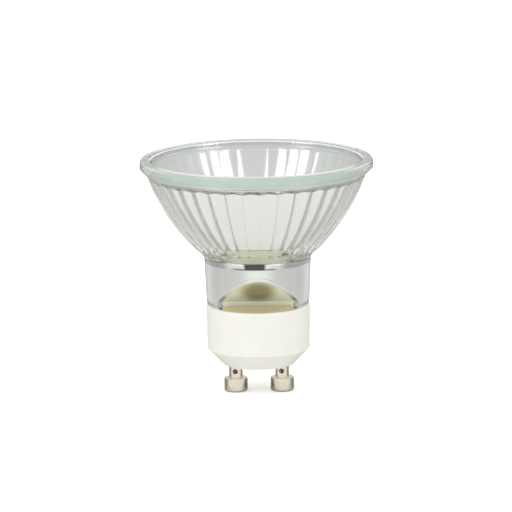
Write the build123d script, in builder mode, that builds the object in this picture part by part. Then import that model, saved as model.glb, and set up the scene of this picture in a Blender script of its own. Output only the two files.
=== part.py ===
from build123d import *
import os
from math import cos, hypot, radians, sin, sqrt, tan

# Halogen reflector bulb, 50 mm, with a two-pin twist-lock cap, standing on its pins.
# Millimetres, +Z up, origin on the lamp's axis at the level of the pins' ends.
# The pins stand on the X axis, and the neck's slanted flats face -Y and +Y.

# Pins
pin_pitch = 10.0
pin_head_diameter = 5.0
pin_head_height = 2.9
pin_head_chamfer = 0.35
pin_shank_diameter = 2.9
pin_shank_length = 3.2
pin_tenon_diameter = 2.3
pin_flare_diameter = 3.4
pin_flare_height = 0.5
pin_bore_diameter = 1.4
pin_bore_floor = 0.9
pin_seat_depth = 0.5
pin_seat_clearance = 0.05
punch_diameter = 1.1
punch_drop = 1.65
punch_turn = 6.0

# Ceramic cap
cap_height = 13.05
cap_draft = 0.17
cap_bevel_height = 3.55
cap_foot_diameter = 15.2
cap_foot_round = 0.4
cap_wall = 1.5
cap_floor = 3.2
cap_edge_round = 0.35
tenon_clearance = 0.05

# Glass neck, with its stub inside the cap
neck_height = 10.6
neck_top_diameter = 22.9
neck_draft = 0.45
neck_shoulder = 1.7
neck_shoulder_round = 0.7
stub_gap = 3.35
stub_clearance = 0.35
bore_floor_height = 0.15
bore_foot_draw = 0.9
bore_foot_height = 1.1
slot_length = 13.0
slot_width = 7.0
flat_depth = 4.0
flat_height = 1.9
flat_slant = 39.5
flat_wall = 1.7
flat_overrun = 1.0

# Fluted bowl
collar_height = 1.5
collar_fillet = 1.4
bowl_foot_diameter = 26.0
bowl_height = 16.45
bowl_curve_radius = 42.2
glass_wall = 1.9
throat_height = 2.0
flute_count = 36
flute_phase = 2.0
flute_depth_top = 0.55
flute_depth_foot = 0.3
bowl_sections = 4

# Rim and front glass
rim_diameter = 50.0
rim_overhang = 1.45
rim_edge_round = 0.8
rim_edge_height = 1.0
rim_wall = 2.0
rim_shelf = 0.9
rim_shelf_edge = 0.4
rim_cone_depth = 2.2
front_glass_thickness = 2.4
front_glass_drop = 0.3
front_glass_edge = 0.3
sealant_thickness = 0.25

# Halogen capsule
capsule_diameter = 10.4
capsule_wall = 0.9
capsule_pocket_diameter = 0.9
capsule_top_gap = 5.0
capsule_tip_height = 1.6
capsule_tip_diameter = 2.4
pinch_width = 8.6
pinch_thickness = 3.0
pinch_height = 11.5
pinch_end_gap = 1.4
pinch_blend = 3.0
pinch_corner = 1.2
foil_length = 6.0
foil_width = 1.8
foil_thickness = 0.1
foil_end_gap = 3.0
lead_spacing = 4.6
lead_diameter = 0.5
lead_overlap = 1.2
lead_bend_radius = 0.9
filament_diameter = 0.9
filament_foot_gap = 2.2
filament_top_gap = 1.4
support_diameter = 0.3
support_clearance = 0.05
support_root = 2.0
support_ring_width = 0.4

# Cement
cement_clearance = 0.15
burner_cement_drop = 0.3
cement_edge = 0.6
base_cement_rise = 1.0
cement_bead_height = 1.0
cement_bead_inset = 0.4

# Levels up the axis
shank_top_z = pin_head_height + pin_shank_length
cap_top_z = shank_top_z + cap_height
cap_floor_z = shank_top_z + cap_floor
stub_foot_z = cap_floor_z + stub_gap
bore_floor_z = cap_top_z + bore_floor_height
collar_z = cap_top_z + neck_height
bowl_foot_z = collar_z + collar_height
bowl_top_z = bowl_foot_z + bowl_height
rim_edge_z = bowl_top_z + rim_overhang
rim_top_z = rim_edge_z + rim_edge_height + rim_edge_round
shelf_z = rim_top_z - front_glass_drop - front_glass_thickness - sealant_thickness

# Radii from the glass outwards to the cap, and from the rim inwards
neck_foot_radius = neck_top_diameter / 2 - neck_draft
stub_radius = neck_foot_radius - neck_shoulder
cap_bore_radius = stub_radius + stub_clearance
cap_radius = cap_bore_radius + cap_wall
bore_radius = neck_foot_radius - glass_wall
flat_distance = neck_foot_radius - flat_depth
rim_radius = rim_diameter / 2
bowl_top_radius = rim_radius - rim_overhang
bowl_foot_radius = bowl_foot_diameter / 2
rebate_radius = rim_radius - rim_wall


def mirror_pair(offset):
    """The two places of what comes in a left and right pair."""
    return (("left", -offset), ("right", offset))


def finish(piece, label):
    """Names a finished piece and writes it to its own file."""
    piece.part.label = label
    export_step(piece.part, os.path.join("parts", label + ".step"))


os.makedirs("parts", exist_ok=True)


# Contact pins: a solid head, a hollow shank with a punched hole, and a tenon riveted over the cap's floor
def make_pin(x):
    tenon_top_z = cap_floor_z + pin_flare_height
    bore_floor = pin_head_height + pin_bore_floor
    with BuildPart() as pin:
        with BuildSketch(Plane.XY):
            with Locations((x, 0)):
                Circle(pin_head_diameter / 2)
        extrude(amount=pin_head_height)
        chamfer(pin.faces().sort_by(Axis.Z)[0].edges(), pin_head_chamfer)
        with BuildSketch(Plane.XY.offset(pin_head_height)):
            with Locations((x, 0)):
                Circle(pin_shank_diameter / 2)
        extrude(amount=pin_shank_length)
        with BuildSketch(Plane.XY.offset(shank_top_z)):
            with Locations((x, 0)):
                Circle(pin_tenon_diameter / 2)
        extrude(amount=cap_floor)
        with BuildSketch(Plane.XY.offset(cap_floor_z)):
            with Locations((x, 0)):
                Circle(pin_flare_diameter / 2)
        extrude(amount=pin_flare_height)
        with BuildSketch(Plane.XY.offset(bore_floor)):
            with Locations((x, 0)):
                Circle(pin_bore_diameter / 2)
        extrude(amount=tenon_top_z - bore_floor, mode=Mode.SUBTRACT)
        with BuildSketch(Plane.XY.offset(bore_floor - pin_seat_depth)):
            with Locations((x, 0)):
                Circle(lead_diameter / 2 + pin_seat_clearance)
        extrude(amount=pin_seat_depth, mode=Mode.SUBTRACT)
        punch_z = shank_top_z - punch_drop
        punch = Plane(
            origin=(x, 0, punch_z),
            x_dir=(cos(radians(punch_turn)), -sin(radians(punch_turn)), 0),
            z_dir=(-sin(radians(punch_turn)), -cos(radians(punch_turn)), 0),
        )
        with BuildSketch(punch):
            Circle(punch_diameter / 2)
        extrude(amount=pin_shank_diameter, mode=Mode.SUBTRACT)
    return pin


# Ceramic cap: a cup with a tapered wall, a bevelled foot and two holes for the pins' tenons
def make_cap():
    bevel_z = shank_top_z + cap_bevel_height
    with BuildPart() as cap:
        with BuildSketch(Plane.XZ) as section:
            with BuildLine():
                Polyline(
                    (0, shank_top_z),
                    (cap_foot_diameter / 2, shank_top_z),
                    (cap_radius - cap_draft, bevel_z),
                    (cap_radius, cap_top_z),
                    (cap_bore_radius, cap_top_z),
                    (cap_bore_radius, cap_floor_z),
                    (0, cap_floor_z),
                    close=True,
                )
            make_face()
            corners = section.vertices()
            fillet(corners.sort_by_distance((cap_foot_diameter / 2, shank_top_z))[0], cap_foot_round)
            fillet(section.vertices().sort_by_distance((cap_radius, cap_top_z))[0], cap_edge_round)
        revolve(axis=Axis.Z)
        with Locations((0, 0, shank_top_z)):
            with Locations((-pin_pitch / 2, 0), (pin_pitch / 2, 0)):
                Cylinder(
                    pin_tenon_diameter / 2 + tenon_clearance,
                    cap_floor,
                    align=(Align.CENTER, Align.CENTER, Align.MIN),
                    mode=Mode.SUBTRACT,
                )
    return cap


for side, x in mirror_pair(pin_pitch / 2):
    finish(make_pin(x), "contact_pin_" + side)
ceramic_base = make_cap()
finish(ceramic_base, "ceramic_base")


# Bowl curve: one arc through the flutes' crests, seen from the side
rise = bowl_height
spread = bowl_top_radius - bowl_foot_radius
half_chord = hypot(rise, spread) / 2
chord_offset = sqrt(bowl_curve_radius**2 - half_chord**2)
curve_r = (bowl_top_radius + bowl_foot_radius) / 2 - chord_offset * rise / (2 * half_chord)
curve_z = (bowl_foot_z + bowl_top_z) / 2 + chord_offset * spread / (2 * half_chord)


def crest_radius(z, inset):
    """Radius of the flutes' crests at height z, on the outside or at an inset into the glass."""
    return curve_r + sqrt((bowl_curve_radius - inset) ** 2 - (z - curve_z) ** 2)


def fluted_bowl(foot_z, top_z, inset):
    """A solid of scalloped sections, lofted up the bowl's curve."""
    with BuildPart() as bowl:
        for i in range(bowl_sections):
            z = foot_z + (top_z - foot_z) * i / (bowl_sections - 1)
            crest = crest_radius(z, inset)
            share = (z - bowl_foot_z) / bowl_height
            groove = crest - flute_depth_foot - (flute_depth_top - flute_depth_foot) * share
            with BuildSketch(Plane.XY.offset(z)):
                with BuildLine():
                    for flute in range(flute_count):
                        step = 360 / flute_count
                        start = flute_phase - 90 + flute * step
                        ThreePointArc(
                            (groove * cos(radians(start)), groove * sin(radians(start))),
                            (crest * cos(radians(start + step / 2)), crest * sin(radians(start + step / 2))),
                            (groove * cos(radians(start + step)), groove * sin(radians(start + step))),
                        )
                make_face()
        loft(ruled=True)
    return bowl


# Slanted flat at one distance from the axis: upright beside the cap, then leaning out until it leaves the neck
def flat_outline(distance, side):
    lean_z = cap_top_z + flat_height
    reach = neck_top_diameter
    top_z = lean_z + (reach - distance) / tan(radians(flat_slant))
    return (
        (side * distance, stub_foot_z - flat_overrun),
        (side * distance, lean_z),
        (side * reach, top_z),
        (side * reach, stub_foot_z - flat_overrun),
    )


# Hollow of the reflector: rebate and shelf for the front glass, fluted bowl, throat, bore and slot
inner_top_z = shelf_z - rim_shelf_edge
inner_foot_z = bowl_foot_z + throat_height / 2
inner_foot_radius = crest_radius(inner_foot_z, glass_wall) - flute_depth_foot / 2
shelf_radius = rebate_radius - rim_shelf
cone_top_z = shelf_z - rim_shelf_edge
bore_top_z = inner_foot_z - throat_height
bore_foot_radius = bore_radius - bore_foot_draw
flat_shift = flat_wall / cos(radians(flat_slant))
inner_bowl = fluted_bowl(inner_foot_z, inner_top_z, glass_wall)

with BuildPart() as neck_hollow:
    with BuildSketch(Plane.XZ):
        with BuildLine():
            Polyline(
                (0, bore_floor_z),
                (bore_foot_radius, bore_floor_z),
                (bore_radius, bore_floor_z + bore_foot_height),
                (bore_radius, bore_top_z),
                (inner_foot_radius, inner_foot_z),
                (inner_foot_radius - throat_height / 2, inner_foot_z + throat_height / 2),
                (0, inner_foot_z + throat_height / 2),
                close=True,
            )
        make_face()
    revolve(axis=Axis.Z)
    for side in (-1, 1):
        with BuildSketch(Plane.YZ):
            with BuildLine():
                Polyline(*flat_outline(flat_distance - flat_shift, side), close=True)
            make_face()
        extrude(amount=neck_top_diameter, both=True, mode=Mode.SUBTRACT)
    with BuildSketch(Plane.XY.offset(stub_foot_z)):
        SlotOverall(slot_length, slot_width)
    extrude(amount=bore_floor_z - stub_foot_z)

# Reflector: one pressing of glass
with BuildPart() as reflector:
    add(fluted_bowl(bowl_foot_z, bowl_top_z + rim_overhang / 2, 0).part)
    with BuildSketch(Plane.XZ) as rim_section:
        with BuildLine():
            Polyline(
                (0, rim_top_z),
                (rim_radius, rim_top_z),
                (rim_radius, rim_edge_z),
                (bowl_top_radius - rim_cone_depth, bowl_top_z - rim_cone_depth),
                (0, bowl_top_z - rim_cone_depth),
                close=True,
            )
        make_face()
        fillet(rim_section.vertices().sort_by_distance((rim_radius, rim_top_z))[0], rim_edge_round)
    revolve(axis=Axis.Z)
    collar_radius = bowl_foot_radius - flute_depth_foot / 2
    with BuildSketch(Plane.XZ) as neck_section:
        with BuildLine():
            Polyline(
                (0, stub_foot_z),
                (stub_radius, stub_foot_z),
                (stub_radius, cap_top_z),
                (neck_foot_radius, cap_top_z),
                (neck_top_diameter / 2, collar_z),
                (collar_radius, bowl_foot_z),
                (collar_radius - collar_height, bowl_foot_z + collar_height),
                (0, bowl_foot_z + collar_height),
                close=True,
            )
        make_face()
        fillet(neck_section.vertices().sort_by_distance((neck_top_diameter / 2, collar_z))[0], collar_fillet)
        shoulder = neck_section.vertices().sort_by_distance((neck_foot_radius, cap_top_z))[0]
        fillet(shoulder, neck_shoulder_round)
    revolve(axis=Axis.Z)
    for side in (-1, 1):
        with BuildSketch(Plane.YZ):
            with BuildLine():
                Polyline(*flat_outline(flat_distance, side), close=True)
            make_face()
        extrude(amount=neck_top_diameter, both=True, mode=Mode.SUBTRACT)
    add(inner_bowl.part, mode=Mode.SUBTRACT)
    add(neck_hollow.part, mode=Mode.SUBTRACT)
    with BuildSketch(Plane.XZ):
        with BuildLine():
            Polyline(
                (0, rim_top_z),
                (rebate_radius, rim_top_z),
                (rebate_radius, shelf_z),
                (shelf_radius, shelf_z),
                (shelf_radius, cone_top_z),
                (shelf_radius - rim_cone_depth, cone_top_z - rim_cone_depth),
                (0, cone_top_z - rim_cone_depth),
                close=True,
            )
        make_face()
    revolve(axis=Axis.Z, mode=Mode.SUBTRACT)
finish(reflector, "reflector")

# Front glass, and the sealant ring that it is bedded in
front_glass_radius = rebate_radius - sealant_thickness
front_glass_z = shelf_z + sealant_thickness
with BuildPart() as front_glass:
    with BuildSketch(Plane.XY.offset(front_glass_z)):
        Circle(front_glass_radius)
    extrude(amount=front_glass_thickness)
    chamfer(front_glass.edges().filter_by(GeomType.CIRCLE), front_glass_edge)
finish(front_glass, "front_glass")

with BuildPart() as rim_sealant:
    with BuildSketch(Plane.XZ):
        with BuildLine():
            Polyline(
                (shelf_radius, shelf_z),
                (rebate_radius, shelf_z),
                (rebate_radius, rim_top_z - front_glass_drop - front_glass_edge),
                (front_glass_radius, rim_top_z - front_glass_drop - front_glass_edge),
                (front_glass_radius, front_glass_z + front_glass_edge),
                (front_glass_radius - front_glass_edge, front_glass_z),
                (shelf_radius, front_glass_z),
                close=True,
            )
        make_face()
    revolve(axis=Axis.Z)
finish(rim_sealant, "rim_sealant")

# Levels inside the capsule
pinch_foot_z = stub_foot_z + pinch_end_gap
pinch_top_z = pinch_foot_z + pinch_height
tube_foot_z = pinch_top_z + pinch_blend
dome_top_z = shelf_z - capsule_top_gap - capsule_tip_height
foil_foot_z = pinch_foot_z + foil_end_gap
foil_top_z = foil_foot_z + foil_length
filament_foot_z = tube_foot_z + filament_foot_gap
lead_x = lead_spacing / 2
arch_z = dome_top_z - capsule_wall - filament_top_gap - filament_diameter / 2 - lead_x
lead_radius = lead_diameter / 2


# Strips and wires: each wire's end is forked over the strip that it is welded to
def make_foil(x):
    with BuildPart() as foil:
        with BuildSketch(Plane.XY.offset(foil_foot_z)):
            with Locations((x, 0)):
                Rectangle(foil_width, foil_thickness)
        extrude(amount=foil_length)
    return foil


def make_inner_lead(x, foil):
    foot_z = foil_top_z - lead_overlap
    with BuildPart() as lead:
        with BuildSketch(Plane.XY.offset(foot_z)):
            with Locations((x, 0)):
                Circle(lead_radius)
        extrude(amount=filament_foot_z - foot_z)
        add(foil.part, mode=Mode.SUBTRACT)
    return lead


def make_outer_lead(x, pin_x, foil):
    top_z = foil_foot_z + lead_overlap
    with BuildPart() as lead:
        with BuildLine():
            FilletPolyline(
                (x, 0, top_z),
                (x, 0, stub_foot_z - lead_bend_radius),
                (pin_x, 0, cap_floor_z + pin_flare_height + lead_bend_radius),
                (pin_x, 0, pin_head_height + pin_bore_floor - pin_seat_depth),
                radius=lead_bend_radius,
            )
        with BuildSketch(Plane.XY.offset(top_z)):
            with Locations((x, 0)):
                Circle(lead_radius)
        sweep()
        add(foil.part, mode=Mode.SUBTRACT)
    return lead


sealed_in = []
for side, x in mirror_pair(lead_x):
    foil = make_foil(x)
    inner_lead = make_inner_lead(x, foil)
    outer_lead = make_outer_lead(x, x / lead_x * pin_pitch / 2, foil)
    finish(foil, "foil_" + side)
    finish(inner_lead, "inner_lead_" + side)
    finish(outer_lead, "outer_lead_" + side)
    sealed_in += [foil, inner_lead, outer_lead]

# Filament: an inverted U of coiled wire, as the coil's outer form
with BuildPart() as filament:
    with BuildLine():
        Line((-lead_x, 0, filament_foot_z), (-lead_x, 0, arch_z))
        ThreePointArc((-lead_x, 0, arch_z), (0, 0, arch_z + lead_x), (lead_x, 0, arch_z))
        Line((lead_x, 0, arch_z), (lead_x, 0, filament_foot_z))
    with BuildSketch(Plane.XY.offset(filament_foot_z)):
        with Locations((-lead_x, 0)):
            Circle(filament_diameter / 2)
    sweep()
finish(filament, "filament")

# Support: a wire out of the pinch, with a ring round the top of the filament's arch
ring_bore_radius = filament_diameter / 2 + support_clearance
ring_radius = ring_bore_radius + support_diameter
ring_z = arch_z + lead_x
with BuildPart() as filament_support:
    with BuildSketch(Plane.XY.offset(pinch_top_z - support_root)):
        Circle(support_diameter / 2)
    extrude(amount=ring_z - ring_bore_radius - support_clearance - pinch_top_z + support_root)
    with BuildSketch(Plane.YZ):
        with Locations((0, ring_z)):
            Circle(ring_radius)
            Circle(ring_bore_radius, mode=Mode.SUBTRACT)
    extrude(amount=support_ring_width / 2, both=True)
finish(filament_support, "filament_support")
sealed_in.append(filament_support)


# Capsule: a quartz tube with a domed top and a drawn tip, pressed flat at its foot round the strips
def round_ended(radius, foot_z, top_z):
    """Half outline of an upright rod or hollow with a half-sphere on its top."""
    centre_z = top_z - radius
    middle = radius * sin(radians(45))
    Line((0, foot_z), (radius, foot_z))
    Line((radius, foot_z), (radius, centre_z))
    ThreePointArc((radius, centre_z), (middle, centre_z + middle), (0, top_z))
    Line((0, top_z), (0, foot_z))


tube_radius = capsule_diameter / 2
with BuildPart() as capsule_form:
    with BuildSketch(Plane.XY.offset(pinch_foot_z)):
        RectangleRounded(pinch_width, pinch_thickness, pinch_corner)
    extrude(amount=pinch_height)
    with BuildSketch(Plane.XY.offset(pinch_top_z)):
        RectangleRounded(pinch_width, pinch_thickness, pinch_corner)
    with BuildSketch(Plane.XY.offset(tube_foot_z)):
        Circle(tube_radius)
    loft()
    with BuildSketch(Plane.XZ):
        with BuildLine():
            round_ended(tube_radius, tube_foot_z, dome_top_z)
        make_face()
    revolve(axis=Axis.Z)
    with BuildSketch(Plane.XZ):
        with BuildLine():
            round_ended(capsule_tip_diameter / 2, dome_top_z - tube_radius, dome_top_z + capsule_tip_height)
        make_face()
    revolve(axis=Axis.Z)

with BuildPart() as burner_capsule:
    add(capsule_form.part)
    with BuildSketch(Plane.XZ):
        with BuildLine():
            round_ended(tube_radius - capsule_wall, tube_foot_z, dome_top_z - capsule_wall)
        make_face()
    revolve(axis=Axis.Z, mode=Mode.SUBTRACT)
    with Locations((0, 0, tube_foot_z)):
        Cone(
            capsule_pocket_diameter / 2,
            tube_radius - capsule_wall,
            capsule_wall,
            align=(Align.CENTER, Align.CENTER, Align.MAX),
            mode=Mode.SUBTRACT,
        )
    for wire in sealed_in:
        add(wire.part, mode=Mode.SUBTRACT)
finish(burner_capsule, "burner_capsule")

# Cement round the pinch: it fills the slot and the neck's bore, behind the slanted flats
burner_cement_z = bore_top_z - burner_cement_drop
cement_radius = bore_radius - cement_clearance
with BuildPart() as burner_cement:
    with BuildSketch(Plane.XZ):
        with BuildLine():
            Polyline(
                (0, bore_floor_z),
                (cement_radius - bore_foot_draw, bore_floor_z),
                (cement_radius, bore_floor_z + bore_foot_height),
                (cement_radius, burner_cement_z - cement_edge),
                (cement_radius - cement_edge, burner_cement_z),
                (0, burner_cement_z),
                close=True,
            )
        make_face()
    revolve(axis=Axis.Z)
    for side in (-1, 1):
        with BuildSketch(Plane.YZ):
            with BuildLine():
                Polyline(*flat_outline(flat_distance - flat_shift - cement_clearance, side), close=True)
            make_face()
        extrude(amount=neck_top_diameter, both=True, mode=Mode.SUBTRACT)
    with BuildSketch(Plane.XY.offset(stub_foot_z)):
        SlotOverall(slot_length, slot_width)
    extrude(amount=bore_floor_z - stub_foot_z)
    add(capsule_form.part, mode=Mode.SUBTRACT)
    for wire in sealed_in:
        add(wire.part, mode=Mode.SUBTRACT)
finish(burner_cement, "burner_cement")

# Cement in the cap: a sleeve round the stub, and a bead that slopes from each flat down to the cap's edge
bead_radius = cap_radius - cement_bead_inset
base_cement_z = stub_foot_z + base_cement_rise
with BuildPart() as base_cement:
    with BuildSketch(Plane.XZ):
        with BuildLine():
            Polyline(
                (0, base_cement_z),
                (cap_bore_radius, base_cement_z),
                (cap_bore_radius, cap_top_z),
                (bead_radius, cap_top_z),
                (bead_radius - cement_bead_height, cap_top_z + cement_bead_height),
                (0, cap_top_z + cement_bead_height),
                close=True,
            )
        make_face()
    revolve(axis=Axis.Z)
    for side in (-1, 1):
        with BuildSketch(Plane.YZ):
            with BuildLine():
                Polyline(
                    (side * flat_distance, cap_top_z + cement_bead_height),
                    (side * bead_radius, cap_top_z),
                    (side * bead_radius, cap_top_z + cement_bead_height),
                    close=True,
                )
            make_face()
        extrude(amount=cap_radius, both=True, mode=Mode.SUBTRACT)
    with BuildSketch(Plane.XY.offset(cap_top_z)):
        Rectangle(2 * cap_radius, 2 * flat_distance)
    extrude(amount=cement_bead_height, mode=Mode.SUBTRACT)
    with BuildSketch(Plane.XY.offset(base_cement_z)):
        SlotOverall(slot_length, slot_width)
    extrude(amount=cap_top_z - base_cement_z, mode=Mode.SUBTRACT)
    add(reflector.part, mode=Mode.SUBTRACT)
finish(base_cement, "base_cement")
print("lamp height", round(rim_top_z, 3))
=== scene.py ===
from math import cos, hypot, pi, radians, sin, tan

import bpy
import numpy as np
from bpy.props import FloatProperty, FloatVectorProperty, IntProperty, PointerProperty
from mathutils import Matrix, Vector


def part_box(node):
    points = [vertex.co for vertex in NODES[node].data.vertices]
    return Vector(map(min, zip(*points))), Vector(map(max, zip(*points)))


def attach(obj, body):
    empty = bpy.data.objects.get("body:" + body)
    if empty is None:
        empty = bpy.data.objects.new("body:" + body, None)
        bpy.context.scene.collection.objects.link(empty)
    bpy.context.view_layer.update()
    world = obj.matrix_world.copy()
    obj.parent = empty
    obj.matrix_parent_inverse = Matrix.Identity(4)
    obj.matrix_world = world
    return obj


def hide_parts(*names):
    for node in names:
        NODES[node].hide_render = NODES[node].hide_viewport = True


bl_info = {
    "name": "Halogen Reflector Bulb",
    "version": (1, 0, 0),
    "blender": (4, 5, 0),
    "location": "3D View > Sidebar > Bulb",
    "description": "Fluted glass reflector bulb with a ceramic twist-lock cap, dressed round its CAD frame",
    "category": "Object",
}

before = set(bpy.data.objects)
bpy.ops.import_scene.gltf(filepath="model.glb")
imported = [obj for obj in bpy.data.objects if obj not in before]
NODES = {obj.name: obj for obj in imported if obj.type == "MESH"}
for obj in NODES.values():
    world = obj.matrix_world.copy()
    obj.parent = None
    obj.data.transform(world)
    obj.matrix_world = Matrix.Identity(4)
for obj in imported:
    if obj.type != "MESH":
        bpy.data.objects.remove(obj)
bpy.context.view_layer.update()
BODY = "root"
MM = 0.001


def linear(hex_colour):
    """An sRGB hex colour as the linear colour that the shaders take."""
    shares = [int(hex_colour[i : i + 2], 16) / 255 for i in (1, 3, 5)]
    return tuple(s / 12.92 if s <= 0.04045 else ((s + 0.055) / 1.055) ** 2.4 for s in shares) + (1.0,)


def add(tree, kind, inputs=None, **settings):
    """Adds a node with its settings, and sets or links its inputs. A node as input stands for its first output."""
    node = tree.nodes.new(kind)
    for name, value in settings.items():
        setattr(node, name, value)
    for key, value in (inputs or {}).items():
        if isinstance(value, bpy.types.Node):
            value = value.outputs[0]
        if isinstance(value, bpy.types.NodeSocket):
            tree.links.new(value, node.inputs[key])
        else:
            node.inputs[key].default_value = value
    return node


def number(name, description, default):
    return FloatProperty(name=name, description=description, default=default)


def tilt(name, description, degrees):
    return FloatProperty(name=name, description=description, default=radians(degrees), subtype="ANGLE")


def length(name, description, millimetres):
    return FloatProperty(name=name, description=description, default=millimetres * MM, unit="LENGTH", precision=5)


def colour(name, description, hex_colour):
    return FloatVectorProperty(
        name=name, description=description, default=linear(hex_colour), subtype="COLOR", size=4, min=0, max=1
    )


# Sizes and colours that a user would change


class PressingSizes(bpy.types.PropertyGroup):
    """Sizes of the pressed glass bowl and neck."""

    flutes: IntProperty(name="Flutes", description="Number of flutes round the bowl", default=36, min=3)
    phase: tilt("Phase", "Turn of the flutes", 2)
    depth_top: length("Flute depth, top", "Depth of the flutes below the rim", 0.55)
    depth_foot: length("Flute depth, foot", "Depth of the flutes at the collar", 0.3)
    wall: length("Wall", "Thickness of the glass", 1.9)
    rim_radius: length("Rim radius", "Outer radius of the rim", 25.0)
    rim_round: length("Rim round", "Fire-polished round on the rim's top edge", 0.8)
    rebate_radius: length("Rebate radius", "Radius that the front glass drops into", 23.03)
    flat_distance: length("Flat distance", "Distance of the neck's flats from the axis", 6.96)
    flat_slant: tilt("Flat slant", "Lean of the flats from upright", 39.5)
    flat_round: length("Flat round", "Softness of the flats' pressed edges", 0.2)
    scallop_round: length("Scallop round", "Softness where the flutes run out", 0.12)


class FilmSizes(bpy.types.PropertyGroup):
    """Sizes of the mirror film."""

    thickness: length("Thickness", "Thickness of the film, far thicker than the real one so that it can be made", 0.1)
    foot: length("Foot", "Height at which the bowl's film ends above the neck", 34.1)
    top: length("Top", "Height of the bowl's film below the shelf", 47.85)
    neck_foot: length("Neck foot", "Height at which the neck's film starts", 19.36)
    neck_top: length("Neck top", "Height at which the neck's film ends", 30.2)


class CoilSizes(bpy.types.PropertyGroup):
    """Sizes of the filament's coil."""

    turns: IntProperty(name="Turns", description="Turns of tungsten wire in the filament", default=62, min=4)
    radius: length("Coil radius", "Radius of the coil's centreline", 0.37)
    wire: length("Wire radius", "Radius of the tungsten wire", 0.075)
    spacing: length("Leg spacing", "Distance between the filament's two legs", 4.6)


class FinishColours(bpy.types.PropertyGroup):
    """Colours of the bulb's finishes."""

    pressed_glass: colour("Pressed glass", "Tint of the pressed glass at its surface", "#FBFDFB")
    front_glass: colour("Front glass", "Tint of the front glass at its surface", "#FBFDFC")
    film: colour("Mirror film", "Colour of the aluminium film", "#F3F3F1")
    stain: colour("Stain", "Colour of the heat stain on the neck's cement", "#948A60")
    sealant: colour("Sealant", "Colour of the silicone bead", "#BACBC1")
    ceramic: colour("Ceramic", "Colour of the steatite cap", "#F4F3EB")
    neck_cement: colour("Neck cement", "Colour of the cement round the burner", "#F8F7DF")
    cap_cement: colour("Cap cement", "Colour of the cement in the cap", "#B9AB84")
    nickel: colour("Nickel plate", "Colour of the plated pins", "#F8F0E2")
    tungsten: colour("Tungsten", "Colour of the coil and its support", "#6E6E72")
    molybdenum: colour("Molybdenum", "Colour of the strips and inner leads", "#9C9DA1")


class StudioSettings(bpy.types.PropertyGroup):
    """The floor, the light and the camera."""

    distance: length("Camera distance", "From the lamp's axis", 1000.0)
    elevation: tilt("Elevation", "Camera height", 11.3)
    roll: tilt("Roll", "Turn about the line of sight", 0.76)
    focal: number("Focal length", "In millimetres on a 36 mm sensor", 326.95)
    aim_x: length("Aim, sideways", "Where the line of sight crosses the lamp", -0.33)
    aim_z: length("Aim, height", "Where the line of sight crosses the lamp", 29.53)
    world: number("World light", "Strength of the room's even light", 0.86)
    front_tone: number("Front tone", "Grey of the room round the camera", 0.96)
    side_tone: number("Side tone", "Grey of the room at the sides and overhead", 0.8)
    back_tone: number("Back tone", "Grey that surfaces mirror from behind", 0.66)
    key: number("Key light", "Power of the left softbox in watts", 3.3)
    fill: number("Fill light", "Power of the right softbox in watts", 2.2)


GROUPS = {
    "bulb_pressing": PressingSizes,
    "bulb_film": FilmSizes,
    "bulb_coil": CoilSizes,
    "bulb_colours": FinishColours,
    "bulb_studio": StudioSettings,
}

# Levels and radii of the pressing, in millimetres, mostly as the CAD has them
STUB_FOOT, STUB_RADIUS = 12.65, 9.26
SLOT_HALF, SLOT_RADIUS = 3.0, 3.5
CAP_TOP, NECK_FOOT_RADIUS, SHOULDER_ROUND = 19.15, 11.0, 0.7
COLLAR, NECK_TOP_RADIUS, COLLAR_FILLET = 29.75, 11.45, 1.4
BOWL_FOOT, COLLAR_RADIUS = 31.25, 12.85
BOWL_TOP, RIM_EDGE, RIM_TOP = 47.7, 49.15, 50.95
FLOOR, BORE_RADIUS = 19.27, 9.1
LEAN, FLAT_WALL = 21.05, 1.7
THROAT_FOOT, INNER_FOOT = 30.25, 32.25
SHELF, SHELF_RADIUS, LIP_HEIGHT = 47.96, 22.1, 0.9
# Circle of the flutes' crests, in a plane through the axis
CURVE_RADIUS, CURVE_R, CURVE_Z = 42.2, -16.2819, 61.6376
# Below the shelf the glass and the film draw in by this much for each millimetre, from this height down
SHELF_SLOPE, SHELF_EDGE = 2.2, 47.6
# The flutes inside the bowl have this share of the depth of those outside
INNER_SHARE = 0.35
# The neck's cement: its distances from the glass and from the glass behind the flats, the height at which it meets
# the bore all round, its creep up the throat, its hole for the capsule's tube and half its hole for the pinch
CEMENT_GAP, CEMENT_FLAT_GAP, ARCH_TOP = 0.15, 0.2, 27.0
CEMENT_CREEP = ((10.85, 32.2), (12.3, 33.8), (11.3, 33.3), (8.5, 31.9))
TUBE_HOLE = ((5.23, 31.3), (5.23, 28.55))
PINCH_HOLE, PINCH_TOP = (4.33, 1.53), 25.5

# Fineness of the meshes: columns to a flute, and millimetres between rows, finer where the flutes run out
COLUMNS_PER_FLUTE = 10
BOWL_STEP, FINE_STEP, FINE_FROM = 0.35, 0.16, 45.5
NECK_STEP, PLAIN_STEP, SHELF_STEP = 0.23, 1.0, 0.8
COLLAR_STEP, THROAT_STEP = 0.3, 0.4
CEMENT_COLUMNS, CEMENT_STEP = 180, 0.25
POINTS_PER_TURN = 12.0

# What a turned blank tells the geometry nodes: the radius of a plain wall and of the flutes' crests, the wall
# behind the flats, and the share of the flutes' depth, with the values of a row that doesn't give the last three
BLANK = ("plain", "crest", "wall", "share")
PLAIN_ROW = (0, 0, 1.0)

# The right softbox, which the left one mirrors, and the height above which the camera rises, in metres
SOFTBOX_PLACE, SOFTBOX_SIZE, SOFTBOX_AIM = (0.72, -0.55, 0.85), 0.7, Vector((0, 0, 0.025))
CAMERA_BASE = 0.027

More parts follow.
